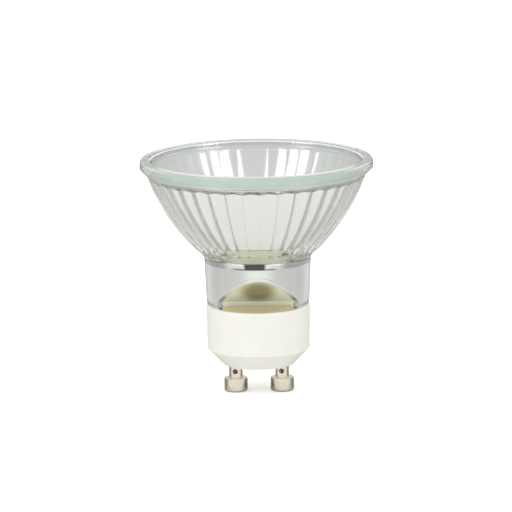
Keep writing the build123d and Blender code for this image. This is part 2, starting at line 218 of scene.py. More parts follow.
# The white floor, in metres: half its width, how far behind the bulb it starts and ends to glow for what is seen
# through glass, where at its sides it is painted greyer as a painted reflection in the glass, and where it is
# painted darker as a painted reflection in bare metal
FLOOR_REACH = 3.0
FLOOR_GLOW, GLOW_FROM, GLOW_TO = 0.3, 0.14, 0.2
GLASS_REFLECTION_GREY, GREY_FROM, GREY_TO = 0.54, 0.09, 0.104
METAL_REFLECTION_SHADE, SHADE_FROM, SHADE_TO = 0.35, -0.005, 0.001

# Painted reflection and shade in the mirror film at the top of the neck: a belt painted white, its middle painted
# dark as a reflection, its ends and a thin line painted as shade. Its height and shift in metres, and for each of
# its parts the distances in metres between which it fades, with its strength before and after
REFLECTION_BELT_HEIGHT, REFLECTION_BELT_SHIFT = 0.0294, 0.0006
MAP_LIMITS = ("From Min", "From Max", "To Min", "To Max")
REFLECTION_BELT = (0.001, 0.0012, 1.0, 0.0)
DARK_REFLECTION_MIDDLE = (0.0018, 0.0024, 0.95, 0.0)
SHADED_BELT_ENDS = (0.0048, 0.0062, 0.0, 0.45)
SHADE_LINE = (0.0285, 0.0287, 0.8, 0.0)
SHADE_LINE_REACH = (0.0036, 0.0048, 1.0, 0.0)


def curve_radius(z, inset):
    """Radius of the flutes' crests at a height, at an inset into the glass, in millimetres."""
    return CURVE_R + np.sqrt((CURVE_RADIUS - inset) ** 2 - (z - CURVE_Z) ** 2)


def inner_foot(sizes):
    """Radius at which the bowl's inside meets the throat, in millimetres."""
    return curve_radius(INNER_FOOT, sizes.wall / MM) - sizes.depth_foot / MM / 2


def round_off(start, corner, end, radius):
    """Points of an arc that rounds a corner between two straight lines, in millimetres."""
    a, c, b = (Vector(p) for p in (start, corner, end))
    u, v = (a - c).normalized(), (b - c).normalized()
    half = u.angle(v) / 2
    reach = radius / tan(half)
    middle = c + (u + v).normalized() * radius / sin(half)
    first, last = c + u * reach - middle, c + v * reach - middle
    turn = first.angle(last)
    points = []
    for i in range(7):
        t = i / 6
        points.append(tuple(middle + (first * sin((1 - t) * turn) + last * sin(t * turn)) / sin(turn)))
    return points


def spread(points, step):
    """The polyline's points with more set between them, no further apart than step."""
    made = []
    for (r0, z0), (r1, z1) in zip(points, points[1:]):
        count = max(1, int(np.ceil(hypot(r1 - r0, z1 - z0) / step)))
        made += [(r0 + (r1 - r0) * i / count, z0 + (z1 - z0) * i / count) for i in range(count)]
    return made + [points[-1]]


def turned_mesh(name, columns, rows):
    """A closed blank turned about the axis, in millimetres.

    Each row is (plain radius or radii, height), and may go on with its crest radius, wall and share of the depth.
    """
    angles = np.arange(columns) * 2 * pi / columns
    places, told, faces = [], [], []
    for radius, z, *more in rows:
        radii = np.broadcast_to(radius, columns)
        places.append(np.stack([radii * np.cos(angles), radii * np.sin(angles), np.full(columns, z)], 1))
        told.append([radii] + [np.full(columns, value) for value in (*more, *PLAIN_ROW[len(more) :])])
    for i in range(len(rows)):
        low, high = i * columns, (i + 1) % len(rows) * columns
        for j in range(columns):
            k = (j + 1) % columns
            faces.append((low + j, low + k, high + k, high + j))
    mesh = bpy.data.meshes.new(name)
    mesh.from_pydata((np.concatenate(places) * MM).tolist(), [], faces)
    for label, values, unit in zip(BLANK, zip(*told), (MM, MM, MM, 1)):
        layer = mesh.attributes.new(label, "FLOAT", "POINT")
        layer.data.foreach_set("value", (np.concatenate(values) * unit).astype(np.float32))
    return mesh


def new_group(name, numbers):
    """Geometry nodes with nothing but their inputs: a geometry, some named numbers and a material."""
    tree = bpy.data.node_groups.new(name, "GeometryNodeTree")
    for label, kind in (("Geometry", "Geometry"), *numbers, ("Material", "Material")):
        tree.interface.new_socket(label, in_out="INPUT", socket_type="NodeSocket" + kind)
    tree.interface.new_socket("Geometry", in_out="OUTPUT", socket_type="NodeSocketGeometry")
    return tree, add(tree, "NodeGroupInput").outputs


def end_group(tree, shape, material):
    """Ends geometry nodes with real geometry that wears its material."""
    real = add(tree, "GeometryNodeRealizeInstances", {0: shape})
    dressed = add(tree, "GeometryNodeSetMaterial", {"Geometry": real, "Material": material})
    add(tree, "NodeGroupOutput", {0: dressed})
    return tree


def flute_tree():
    """Geometry nodes that press the flutes and the neck's flats into a turned blank."""
    labels = ("Flutes", "Phase", "Depth top", "Depth foot", "Foot height", "Top height", "Scallop round")
    labels += ("Flat distance", "Flat slope", "Lean height", "Flat round")
    tree, given = new_group("Pressed flutes", [(label, "Float") for label in labels])
    place = add(tree, "ShaderNodeSeparateXYZ", {0: add(tree, "GeometryNodeInputPosition")}).outputs
    blank = {label: add(tree, "GeometryNodeInputNamedAttribute", {"Name": label}) for label in BLANK}
    angle = add(tree, "ShaderNodeMath", {0: place["Y"], 1: place["X"]}, operation="ARCTAN2")

    # Place across one flute: 0 on its crest and 1 in the groove at either side
    from_front = add(tree, "ShaderNodeMath", {0: angle, 1: pi / 2}, operation="ADD")
    turned = add(tree, "ShaderNodeMath", {0: from_front, 1: given["Phase"]}, operation="SUBTRACT")
    pitch = add(tree, "ShaderNodeMath", {0: 2 * pi, 1: given["Flutes"]}, operation="DIVIDE")
    steps = add(tree, "ShaderNodeMath", {0: turned, 1: pitch}, operation="DIVIDE")
    share = add(tree, "ShaderNodeMath", {0: steps}, operation="FRACT")
    across = add(tree, "ShaderNodeMath", {0: share, 1: 2.0, 2: -1.0}, operation="MULTIPLY_ADD")
    bend = add(tree, "ShaderNodeMath", {0: across, 1: across}, operation="MULTIPLY")
    limits = {"From Min": given["Foot height"], "From Max": given["Top height"]}
    limits |= {"To Min": given["Depth foot"], "To Max": given["Depth top"]}
    depth = add(tree, "ShaderNodeMapRange", {"Value": place["Z"], **limits}, clamp=False)
    deep_here = add(tree, "ShaderNodeMath", {0: depth, 1: blank["share"]}, operation="MULTIPLY")
    drop = add(tree, "ShaderNodeMath", {0: bend, 1: deep_here}, operation="MULTIPLY")
    fluted = add(tree, "ShaderNodeMath", {0: blank["crest"], 1: drop}, operation="SUBTRACT")
    soft = given["Scallop round"]
    radius = add(tree, "ShaderNodeMath", {0: fluted, 1: blank["plain"], 2: soft}, operation="SMOOTH_MAX")

    # The flats cut straight across the neck, upright at first and then leaning out
    x = add(tree, "ShaderNodeMath", {0: angle}, operation="COSINE")
    y = add(tree, "ShaderNodeMath", {0: angle}, operation="SINE")
    wide = add(tree, "ShaderNodeMath", {0: radius, 1: x}, operation="MULTIPLY")
    deep = add(tree, "ShaderNodeMath", {0: radius, 1: y}, operation="MULTIPLY")
    above = add(tree, "ShaderNodeMath", {0: place["Z"], 1: given["Lean height"]}, operation="SUBTRACT")
    lean = add(tree, "ShaderNodeMath", {0: above, 1: 0.0, 2: given["Flat round"]}, operation="SMOOTH_MAX")
    inside = add(tree, "ShaderNodeMath", {0: given["Flat distance"], 1: blank["wall"]}, operation="SUBTRACT")
    limit = add(tree, "ShaderNodeMath", {0: lean, 1: given["Flat slope"], 2: inside}, operation="MULTIPLY_ADD")
    outward = add(tree, "ShaderNodeMath", {0: deep}, operation="ABSOLUTE")
    kept = add(tree, "ShaderNodeMath", {0: outward, 1: limit, 2: given["Flat round"]}, operation="SMOOTH_MIN")
    side = add(tree, "ShaderNodeMath", {0: deep}, operation="SIGN")
    cut = add(tree, "ShaderNodeMath", {0: kept, 1: side}, operation="MULTIPLY")
    moved = add(tree, "ShaderNodeCombineXYZ", {"X": wide, "Y": cut, "Z": place["Z"]})

    shape = add(tree, "GeometryNodeSetPosition", {"Geometry": given["Geometry"], "Position": moved})
    return end_group(tree, add(tree, "GeometryNodeSetShadeSmooth", {0: shape}), given["Material"])


def plain_piece(name, source, replaced=()):
    """Turns an evaluated object into a plain mesh piece that rides on the bulb."""
    made = bpy.data.meshes.new_from_object(source.evaluated_get(bpy.context.evaluated_depsgraph_get()))
    source.modifiers.clear()
    bpy.data.objects.remove(source)
    return place_piece(name, made, replaced)


def place_piece(name, mesh, replaced=()):
    """Shows a finished mesh, in the row frame, as a piece of the bulb."""
    mesh.name = name
    for label in BLANK:
        if label in mesh.attributes:
            mesh.attributes.remove(mesh.attributes[label])
    piece = bpy.data.objects.new(name, mesh)
    bpy.context.scene.collection.objects.link(piece)
    mesh.shade_smooth()
    mesh.set_sharp_from_angle(angle=radians(32))
    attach(piece, BODY)
    if replaced:
        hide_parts(*replaced)
    return piece


def run_nodes(source, tree, values):
    """Runs geometry nodes on an object, with their inputs set by name."""
    modifier = source.modifiers.new(tree.name, "NODES")
    modifier.node_group = tree
    for item in tree.interface.items_tree:
        if item.in_out == "INPUT" and item.name in values:
            modifier[item.identifier] = values[item.name]


def press(name, mesh, material, replaced=()):
    """Presses the flutes and flats into a blank, and keeps the result as a plain piece."""
    sizes = bpy.context.scene.bulb_pressing
    blank = bpy.data.objects.new(name + "_blank", mesh)
    bpy.context.scene.collection.objects.link(blank)
    values = {
        "Flutes": float(sizes.flutes), "Phase": sizes.phase, "Scallop round": sizes.scallop_round,
        "Depth top": sizes.depth_top, "Depth foot": sizes.depth_foot,
        "Foot height": BOWL_FOOT * MM, "Top height": BOWL_TOP * MM, "Lean height": LEAN * MM,
        "Flat distance": sizes.flat_distance, "Flat slope": tan(sizes.flat_slant), "Flat round": sizes.flat_round,
        "Material": material,
    }
    run_nodes(blank, bpy.data.node_groups.get("Pressed flutes") or flute_tree(), values)
    return plain_piece(name, blank, replaced)


# Finishes


def new_finish(name):
    """A node material with nothing but the place on the piece: the finish, its tree and that place."""
    finish = bpy.data.materials.new(name)
    finish.use_nodes = True
    finish.node_tree.nodes.clear()
    return finish, finish.node_tree, add(finish.node_tree, "ShaderNodeTexCoord").outputs["Object"]


def wear(name, finish):
    """Gives a CAD node its finish."""
    NODES[name].data.materials.clear()
    NODES[name].data.materials.append(finish)


def tinted_glass(name, tint, ripple, bump, roughness, depth_tint, density):
    """A clear glass with a rippled face, which takes a hue where the light has far to go through it."""
    finish, tree, place = new_finish(name)
    ripples = add(tree, "ShaderNodeTexNoise", {"Vector": place, **ripple})
    look = {"Base Color": tint, "Transmission Weight": 1.0, "Roughness": roughness, "IOR": 1.51}
    look["Normal"] = add(tree, "ShaderNodeBump", {"Height": ripples, **bump})
    shader = add(tree, "ShaderNodeBsdfPrincipled", look)
    depth = add(tree, "ShaderNodeVolumeAbsorption", {"Color": linear(depth_tint), "Density": density})
    add(tree, "ShaderNodeOutputMaterial", {"Surface": shader, "Volume": depth})
    return finish


def pressed_glass(tint):
    """Soda-lime glass, pressed and fire polished: faint ripples from the mould, and green where it is deep."""
    # Ripples about 3 mm apart
    ripple, bump = {"Scale": 330.0, "Detail": 1.0}, {"Strength": 0.15, "Distance": 0.00008}
    return tinted_glass("Pressed soda-lime glass", tint, ripple, bump, 0.02, "#DDF0E6", 8.0)


def plate_glass(tint):
    """Rolled front glass: clear and flat, with a green edge."""
    # The slow wave of rolled glass, about 8 mm from crest to crest
    ripple, bump = {"Scale": 120.0, "Detail": 0.0}, {"Strength": 0.1, "Distance": 0.00005}
    return tinted_glass("Rolled front glass", tint, ripple, bump, 0.01, "#D2EEDF", 3.0)


def mirror_coat(silver):
    """Aluminium evaporated on the glass: a soft silver mirror, a little misty in places."""
    finish, tree, place = new_finish("Evaporated aluminium")
    cloud = add(tree, "ShaderNodeTexNoise", {"Vector": place, "Scale": 160.0, "Detail": 3.0})
    mist = add(tree, "ShaderNodeMapRange", {"Value": cloud, "To Min": 0.0, "To Max": 0.12})
    tone = add(tree, "ShaderNodeMix", {"Factor": mist, 6: silver, 7: linear("#BFC0BC")}, data_type="RGBA").outputs[2]
    # Painted reflection and shade round the top of the neck: a belt painted white as a reflection, its middle above
    # the flats painted nearly black as a dark reflection, its ends painted dull and a thin line along its lower edge
    # painted dark as shade
    place_x, _, place_z = add(tree, "ShaderNodeSeparateXYZ", {0: place}).outputs
    off = add(tree, "ShaderNodeMath", {0: place_z, 1: REFLECTION_BELT_HEIGHT}, operation="SUBTRACT")
    off = add(tree, "ShaderNodeMath", {0: off}, operation="ABSOLUTE")
    beside = add(tree, "ShaderNodeMath", {0: place_x, 1: REFLECTION_BELT_SHIFT}, operation="ADD")
    beside = add(tree, "ShaderNodeMath", {0: beside}, operation="ABSOLUTE")
    belt, low, near, middle, ends = (
        add(tree, "ShaderNodeMapRange", {"Value": value, **dict(zip(MAP_LIMITS, limits))})
        for value, limits in (
            (off, REFLECTION_BELT), (place_z, SHADE_LINE), (beside, SHADE_LINE_REACH), (beside, DARK_REFLECTION_MIDDLE), (beside, SHADED_BELT_ENDS)
        )
    )
    line = add(tree, "ShaderNodeMath", {0: low, 1: near}, operation="MULTIPLY")
    dark = add(tree, "ShaderNodeMath", {0: middle, 1: ends}, operation="MAXIMUM")
    dark = add(tree, "ShaderNodeMath", {0: dark, 1: line}, operation="MAXIMUM")
    # Painted dark reflection and painted shade inside the belt, then the belt's painted white reflection
    painted_dark = add(tree, "ShaderNodeMath", {0: belt, 1: dark}, operation="MULTIPLY")
    painted_bright = add(tree, "ShaderNodeMix", {"Factor": belt, 6: tone, 7: (1, 1, 1, 1)}, data_type="RGBA").outputs[2]
    tone = add(tree, "ShaderNodeMix", {"Factor": painted_dark, 6: painted_bright, 7: linear("#15151C")}, data_type="RGBA").outputs[2]
    # Orange peel of the pressed surface below the film, about 0.7 mm apart
    peel = add(tree, "ShaderNodeTexNoise", {"Vector": place, "Scale": 1400.0, "Detail": 1.0})
    bump = add(tree, "ShaderNodeBump", {"Height": peel, "Strength": 0.12, "Distance": 0.00004})
    look = {"Base Color": tone, "Metallic": 1.0, "Roughness": 0.16, "Normal": bump}
    add(tree, "ShaderNodeOutputMaterial", {"Surface": add(tree, "ShaderNodeBsdfPrincipled", look)})
    return finish


def silicone(pale):
    """Pale silicone sealant, cured to a satin skin: it lightens the rim from inside."""
    finish, tree, place = new_finish("Cured silicone")
    skin = add(tree, "ShaderNodeTexNoise", {"Vector": place, "Scale": 900.0, "Detail": 2.0})
    bump = add(tree, "ShaderNodeBump", {"Height": skin, "Strength": 0.2, "Distance": 0.00005})
    look = {"Base Color": pale, "Roughness": 0.35, "IOR": 1.41, "Normal": bump}
    add(tree, "ShaderNodeOutputMaterial", {"Surface": add(tree, "ShaderNodeBsdfPrincipled", look)})
    return finish


def steatite(white):
    """Steatite ceramic, pressed and fired unglazed: a warm white satin with a fine grain and faint specks."""
    finish, tree, place = new_finish("Fired steatite")
    cloud = add(tree, "ShaderNodeTexNoise", {"Vector": place, "Scale": 260.0, "Detail": 4.0})
    shade = add(tree, "ShaderNodeMapRange", {"Value": cloud, "From Min": 0.35, "From Max": 0.7, "To Max": 0.25})
    body = add(tree, "ShaderNodeMix", {"Factor": shade, 6: white, 7: linear("#EBE9DD")}, data_type="RGBA").outputs[2]
    # Specks of iron in the clay, under 0.2 mm
    speck = add(tree, "ShaderNodeTexNoise", {"Vector": place, "Scale": 3000.0, "Detail": 1.0})
    dots = add(tree, "ShaderNodeMapRange", {"Value": speck, "From Min": 0.74, "From Max": 0.8, "To Max": 0.35})
    tone = add(tree, "ShaderNodeMix", {"Factor": dots, 6: body, 7: linear("#C9BFA8")}, data_type="RGBA").outputs[2]
    # Grain of the pressed powder, about 0.12 mm
    grain = add(tree, "ShaderNodeTexNoise", {"Vector": place, "Scale": 8000.0, "Detail": 2.0})
    bump = add(tree, "ShaderNodeBump", {"Height": grain, "Strength": 0.25, "Distance": 0.00003})
    look = {"Base Color": tone, "Roughness": 0.42, "IOR": 1.6, "Normal": bump}
    look |= {"Subsurface Weight": 0.15, "Subsurface Radius": (0.0012, 0.001, 0.0008), "Subsurface Scale": 1.0}
    add(tree, "ShaderNodeOutputMaterial", {"Surface": add(tree, "ShaderNodeBsdfPrincipled", look)})
    return finish


def lamp_cement(name, tone_colour, stain_colour):
    """Lamp cement, mixed with sand and baked: matt and gritty, with a soft brown patch high up behind the flats, and
    painted shade up in the throat.
    """
    finish, tree, place = new_finish(name)
    # The patch in the stain colour faces the flats, high up behind them, about 9 mm wide and 6 mm high
    oval = {"Location": (0.0, 0.0, -7.4), "Scale": (233.0, 0.0, 312.0)}
    round_stain = add(tree, "ShaderNodeMapping", {"Vector": place, **oval})
    away = add(tree, "ShaderNodeVectorMath", {0: round_stain}, operation="LENGTH").outputs["Value"]
    fade = {"From Min": 0.4, "From Max": 1.2, "To Min": 1.0, "To Max": 0.0}
    baked = add(tree, "ShaderNodeMapRange", {"Value": away, **fade}, interpolation_type="SMOOTHSTEP")
    # Painted shade: the cement is painted greyer up in the throat
    height = add(tree, "ShaderNodeSeparateXYZ", {0: place}).outputs["Z"]
    throat = add(tree, "ShaderNodeMapRange", {"Value": height, "From Min": 0.027, "From Max": 0.03})
    shaded_upper = tuple(0.66 * value for value in tone_colour[:3]) + (1.0,)
    plain = add(tree, "ShaderNodeMix", {"Factor": throat, 6: tone_colour, 7: shaded_upper}, data_type="RGBA").outputs[2]
    body = add(tree, "ShaderNodeMix", {"Factor": baked, 6: plain, 7: stain_colour}, data_type="RGBA").outputs[2]
    # Sand grains, about 0.25 mm
    sand = add(tree, "ShaderNodeTexVoronoi", {"Vector": place, "Scale": 4000.0}).outputs["Distance"]
    fleck = add(tree, "ShaderNodeMapRange", {"Value": sand, "From Max": 0.7, "To Min": 0.2, "To Max": 0.0})
    tone = add(tree, "ShaderNodeMix", {"Factor": fleck, 6: body, 7: linear("#E2DCC4")}, data_type="RGBA").outputs[2]
    bump = add(tree, "ShaderNodeBump", {"Height": sand, "Strength": 0.4, "Distance": 0.0001})
    look = {"Base Color": tone, "Roughness": 0.85, "Normal": bump}
    add(tree, "ShaderNodeOutputMaterial", {"Surface": add(tree, "ShaderNodeBsdfPrincipled", look)})
    return finish


def nickel_plate(silver):
    """Brass turned on a lathe and barrel plated with nickel: a warm silver with fine rings and a few dull patches."""
    finish, tree, place = new_finish("Barrel-plated nickel")
    cloud = add(tree, "ShaderNodeTexNoise", {"Vector": place, "Scale": 700.0, "Detail": 3.0})
    tone = add(tree, "ShaderNodeMix", {"Factor": cloud, 6: silver, 7: linear("#DED6C6")}, data_type="RGBA").outputs[2]
    dull = add(tree, "ShaderNodeMapRange", {"Value": cloud, "To Min": 0.08, "To Max": 0.18})
    # Turning marks, drawn 0.15 mm apart, coarser than the real ones, so that they show
    squeezed = add(tree, "ShaderNodeMapping", {"Vector": place, "Scale": (60.0, 60.0, 6500.0)})
    rings = add(tree, "ShaderNodeTexNoise", {"Vector": squeezed, "Scale": 1.0, "Detail": 2.0})
    bump = add(tree, "ShaderNodeBump", {"Height": rings, "Strength": 0.1, "Distance": 0.00002})
    look = {"Base Color": tone, "Metallic": 1.0, "Roughness": dull, "Normal": bump}
    add(tree, "ShaderNodeOutputMaterial", {"Surface": add(tree, "ShaderNodeBsdfPrincipled", look)})
    return finish


def quartz():
    """Fused quartz, drawn and flame worked: water clear, with faint drawing lines along the tube."""
    finish, tree, place = new_finish("Fused quartz")
    # Drawing lines, about 0.5 mm apart round the tube
    drawn = add(tree, "ShaderNodeMapping", {"Vector": place, "Scale": (2000.0, 2000.0, 60.0)})
    lines = add(tree, "ShaderNodeTexNoise", {"Vector": drawn, "Scale": 1.0, "Detail": 1.0})
    bump = add(tree, "ShaderNodeBump", {"Height": lines, "Strength": 0.08, "Distance": 0.00003})
    look = {"Base Color": linear("#FCFDFD"), "Transmission Weight": 1.0, "Roughness": 0.01, "IOR": 1.46}
    look["Normal"] = bump
    add(tree, "ShaderNodeOutputMaterial", {"Surface": add(tree, "ShaderNodeBsdfPrincipled", look)})
    return finish


def drawn_wire(name, tone_colour, roughness):
    """Drawn or rolled refractory wire: a grey satin metal, streaked along its length."""
    finish, tree, place = new_finish(name)
    streak = add(tree, "ShaderNodeMapping", {"Vector": place, "Scale": (9000.0, 9000.0, 500.0)})
    grain = add(tree, "ShaderNodeTexNoise", {"Vector": streak, "Scale": 1.0, "Detail": 2.0})
    dark = tuple(0.6 * share for share in tone_colour[:3]) + (1.0,)
    tone = add(tree, "ShaderNodeMix", {"Factor": grain, 6: tone_colour, 7: dark}, data_type="RGBA").outputs[2]
    bump = add(tree, "ShaderNodeBump", {"Height": grain, "Strength": 0.2, "Distance": 0.00002})
    look = {"Base Color": tone, "Metallic": 1.0, "Roughness": roughness, "Normal": bump}
    add(tree, "ShaderNodeOutputMaterial", {"Surface": add(tree, "ShaderNodeBsdfPrincipled", look)})
    return finish


# Operators: one for each piece or group of like pieces


class BULB_OT_reflector_glass(bpy.types.Operator):
    """Press the fluted glass bowl with its rim and neck"""

    bl_idname = "bulb.reflector_glass"
    bl_label = "Reflector Glass"

    def execute(self, context):
        sizes = context.scene.bulb_pressing
        columns = sizes.flutes * COLUMNS_PER_FLUTE
        angles = np.arange(columns) * 2 * pi / columns
        across, along = np.abs(np.sin(angles)), np.abs(np.cos(angles))
        ends = SLOT_HALF * along + np.sqrt(np.maximum(SLOT_RADIUS**2 - (SLOT_HALF * across) ** 2, 0))
        sides = SLOT_RADIUS / np.maximum(across, 1e-6)
        slot_radii = np.where(along * SLOT_RADIUS > across * SLOT_HALF, ends, sides)
        rows = [(slot_radii, STUB_FOOT), *self.outside(sizes), *self.inside(sizes), (slot_radii, FLOOR)]
        mesh = turned_mesh("reflector_glass", columns, rows)
        finish = pressed_glass(context.scene.bulb_colours.pressed_glass)
        glass = press("reflector_glass", mesh, finish, ["reflector"])
        # Light reaches the cement and the sealant straight through the glass, which the renderer would dim too much
        glass.visible_diffuse = False
        glass.visible_shadow = False
        return {"FINISHED"}

    def outside(self, sizes):
        """Rows up the outside, from the stub's foot over the rim to the shelf's edge."""
        rim, rebate = sizes.rim_radius / MM, sizes.rebate_radius / MM
        neck_foot, neck_top, bowl = (NECK_FOOT_RADIUS, CAP_TOP), (NECK_TOP_RADIUS, COLLAR), (COLLAR_RADIUS, BOWL_FOOT)
        shoulder = round_off((STUB_RADIUS, CAP_TOP), neck_foot, neck_top, SHOULDER_ROUND)
        collar = round_off(neck_foot, neck_top, bowl, COLLAR_FILLET)
        rows = spread([(STUB_RADIUS, STUB_FOOT), (STUB_RADIUS, CAP_TOP)], PLAIN_STEP)
        rows += shoulder + spread([shoulder[-1], collar[0]], NECK_STEP)[1:]
        rows += collar[1:] + spread([collar[-1], bowl], COLLAR_STEP)[1:-1]
        fine = np.arange(FINE_FROM, RIM_EDGE, FINE_STEP)
        for z in np.concatenate([np.arange(BOWL_FOOT, FINE_FROM, BOWL_STEP), fine]):
            plain = max(COLLAR_RADIUS - (z - BOWL_FOOT), rim - (RIM_EDGE - z))
            rows.append((plain, z, curve_radius(z, 0)))
        edge, corner, top = (rim, RIM_EDGE), (rim, RIM_TOP), (rebate, RIM_TOP)
        rows += [edge] + round_off(edge, corner, top, sizes.rim_round / MM)
        return rows + spread([top, (rebate, SHELF), (SHELF_RADIUS, SHELF)], SHELF_STEP)

    def inside(self, sizes):
        """Rows down the inside, from below the shelf to the bore's floor."""
        wall, foot = sizes.wall / MM, inner_foot(sizes)
        flat_wall = FLAT_WALL / cos(sizes.flat_slant)
        fine = np.arange(SHELF - 0.1, FINE_FROM, -FINE_STEP)
        rows = []
        for z in np.concatenate([fine, np.arange(FINE_FROM, INNER_FOOT, -BOWL_STEP), [INNER_FOOT]]):
            plain = max(foot - (z - INNER_FOOT), SHELF_RADIUS - SHELF_SLOPE * (SHELF_EDGE - z))
            rows.append((plain, z, curve_radius(z, wall), 0, INNER_SHARE))
        throat = spread([(foot, INNER_FOOT - 0.02), (BORE_RADIUS, THROAT_FOOT)], THROAT_STEP)
        bore = spread([(BORE_RADIUS, THROAT_FOOT), (BORE_RADIUS, FLOOR)], NECK_STEP)[1:]
        return rows + [(r, z, 0, flat_wall) for r, z in throat + bore]


class BULB_OT_mirror_film(bpy.types.Operator):
    """Lay the mirror film on the inside of the bowl and of the neck"""

    bl_idname = "bulb.mirror_film"
    bl_label = "Mirror Film"

    def execute(self, context):
        sizes, film = context.scene.bulb_pressing, context.scene.bulb_film
        wall, half, foot = sizes.wall / MM, film.thickness / MM / 2, inner_foot(sizes)
        coat = mirror_coat(context.scene.bulb_colours.film)
        low, high = film.foot / MM, film.top / MM
        heights = np.concatenate([np.arange(low, FINE_FROM, BOWL_STEP), np.arange(FINE_FROM, high, FINE_STEP)])
        back, face = [], []
        for side, offset in ((back, half), (face, -half)):
            for z in heights:
                plain = max(foot, SHELF_RADIUS - SHELF_SLOPE * max(SHELF_EDGE - z, 0))
                side.append((plain + offset, z, curve_radius(z, wall) + offset, 0, INNER_SHARE))
        # Over the shelf and up the rebate as a lip
        edge, lip = sizes.rebate_radius / MM + half, SHELF + LIP_HEIGHT
        lip_inside = edge - 1.6 * half
        shelf = [(SHELF_RADIUS + half, SHELF - half), (edge, SHELF - half), (edge, lip), (lip_inside, lip)]
        shelf += [(lip_inside, SHELF + half), (SHELF_RADIUS - half, SHELF + half)]
        mesh = turned_mesh("mirror_film", sizes.flutes * COLUMNS_PER_FLUTE, back + shelf + face[::-1])
        press("mirror_film", mesh, coat)
        self.neck_film(context, coat, half)
        return {"FINISHED"}

    def neck_film(self, context, coat, half):
        """The neck's film, which leaves the flats clear: two curved panels that meet above the arches."""
        sizes, film = context.scene.bulb_pressing, context.scene.bulb_film
        inside = sizes.flat_distance / MM - FLAT_WALL / cos(sizes.flat_slant)
        slope = tan(sizes.flat_slant)
        # Rows of (height, how far the panel reaches round the bore), close together where the arch is flattest
        start = np.arcsin(inside / BORE_RADIUS)
        rows = [(z, start) for z in np.linspace(film.neck_foot / MM, LEAN, 8)]
        rows += [(LEAN + (BORE_RADIUS * sin(t) - inside) / slope, t) for t in np.linspace(start, pi / 2, 48)[1:]]
        rows += [(z, pi / 2) for z in np.linspace(rows[-1][0], film.neck_top / MM, 10)[1:]]
        columns, count = 91, len(rows)
        places, faces = [], []
        for panel in (0, pi):
            first = len(places)
            for offset in (half, -half):
                for z, reach in rows:
                    for angle in np.linspace(-reach, reach, columns) + panel:
                        r = BORE_RADIUS + offset
                        places.append((r * cos(angle) * MM, r * sin(angle) * MM, z * MM))
            skin = count * columns
            for i in range(count - 1):
                for j in range(columns - 1):
                    a = first + i * columns + j
                    faces.append((a, a + 1, a + columns + 1, a + columns))
                    b = a + skin
                    faces.append((b, b + columns, b + columns + 1, b + 1))
            # The panel's edge, once round
            edges = [first + j for j in range(columns)]
            edges += [first + i * columns + columns - 1 for i in range(1, count)]
            edges += [first + (count - 1) * columns + j for j in range(columns - 2, -1, -1)]
            edges += [first + i * columns for i in range(count - 2, 0, -1)]
            for a, b in zip(edges, edges[1:] + edges[:1]):
                faces.append((b, a, a + skin, b + skin))
        mesh = bpy.data.meshes.new("neck_film")
        mesh.from_pydata(places, [], faces)
        mesh.materials.append(coat)
        place_piece("neck_film", mesh)


class BULB_OT_front_glass(bpy.types.Operator):
    """Finish the front glass and set its ring of sealant"""

    bl_idname = "bulb.front_glass"
    bl_label = "Front Glass and Sealant"

    def execute(self, context):
        colours = context.scene.bulb_colours
        wear("front_glass", plate_glass(colours.front_glass))
        low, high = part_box("front_glass")
        rim_low, rim_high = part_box("rim_sealant")
        # A bead with a hollow top skin, clear of the glass on both sides
        gap, hollow = 0.03, 0.08
        outer, inner, innermost = rim_high.x / MM - 0.08, high.x / MM + gap, SHELF_RADIUS + 0.5
        foot, seat, top = rim_low.z / MM + gap, low.z / MM - gap, rim_high.z / MM - 0.05
        ring = [(innermost, foot), (outer, foot), (outer, top), ((outer + inner) / 2, top - hollow)]
        ring += [(inner, top), (inner, seat), (innermost, seat)]
        mesh = turned_mesh("sealant_ring", 360, ring)
        mesh.materials.append(silicone(colours.sealant))
        place_piece("sealant_ring", mesh, ["rim_sealant"])
        return {"FINISHED"}


class BULB_OT_cap(bpy.types.Operator):
    """Finish the ceramic cap, its pins and the cement"""

    bl_idname = "bulb.cap"
    bl_label = "Cap, Pins and Cement"

    def execute(self, context):
        colours = context.scene.bulb_colours
        wear("ceramic_base", steatite(colours.ceramic))
        plate = nickel_plate(colours.nickel)
        for side in ("left", "right"):
            wear("contact_pin_" + side, plate)
        wear("base_cement", lamp_cement("Baked cap cement", colours.cap_cement, colours.cap_cement))
        self.neck_cement(context, lamp_cement("Baked neck cement", colours.neck_cement, colours.stain))
        return {"FINISHED"}

    def neck_cement(self, context, finish):
        """The cement round the burner: it leans close behind the flats and creeps up the throat."""
        sizes = context.scene.bulb_pressing
        inside = sizes.flat_distance / MM - FLAT_WALL / cos(sizes.flat_slant) - CEMENT_FLAT_GAP
        angles = np.arange(CEMENT_COLUMNS) * 2 * pi / CEMENT_COLUMNS
        along, across = np.maximum(np.abs(np.cos(angles)), 1e-6), np.maximum(np.abs(np.sin(angles)), 1e-6)
        bore, floor = BORE_RADIUS - CEMENT_GAP, FLOOR + 0.05
        rows = []
        for z in [floor, *np.arange(LEAN, ARCH_TOP, CEMENT_STEP)]:
            reach = inside + max(z - LEAN, 0) * tan(sizes.flat_slant)
            rows.append((np.minimum(bore, reach / across), z))
        pinch = np.minimum(PINCH_HOLE[0] / along, PINCH_HOLE[1] / across)
        rows += [(bore, THROAT_FOOT - 0.1), *CEMENT_CREEP, *TUBE_HOLE, (pinch, PINCH_TOP), (pinch, floor)]
        mesh = turned_mesh("neck_cement", CEMENT_COLUMNS, rows)
        mesh.materials.append(finish)
        place_piece("neck_cement", mesh, ["burner_cement"])


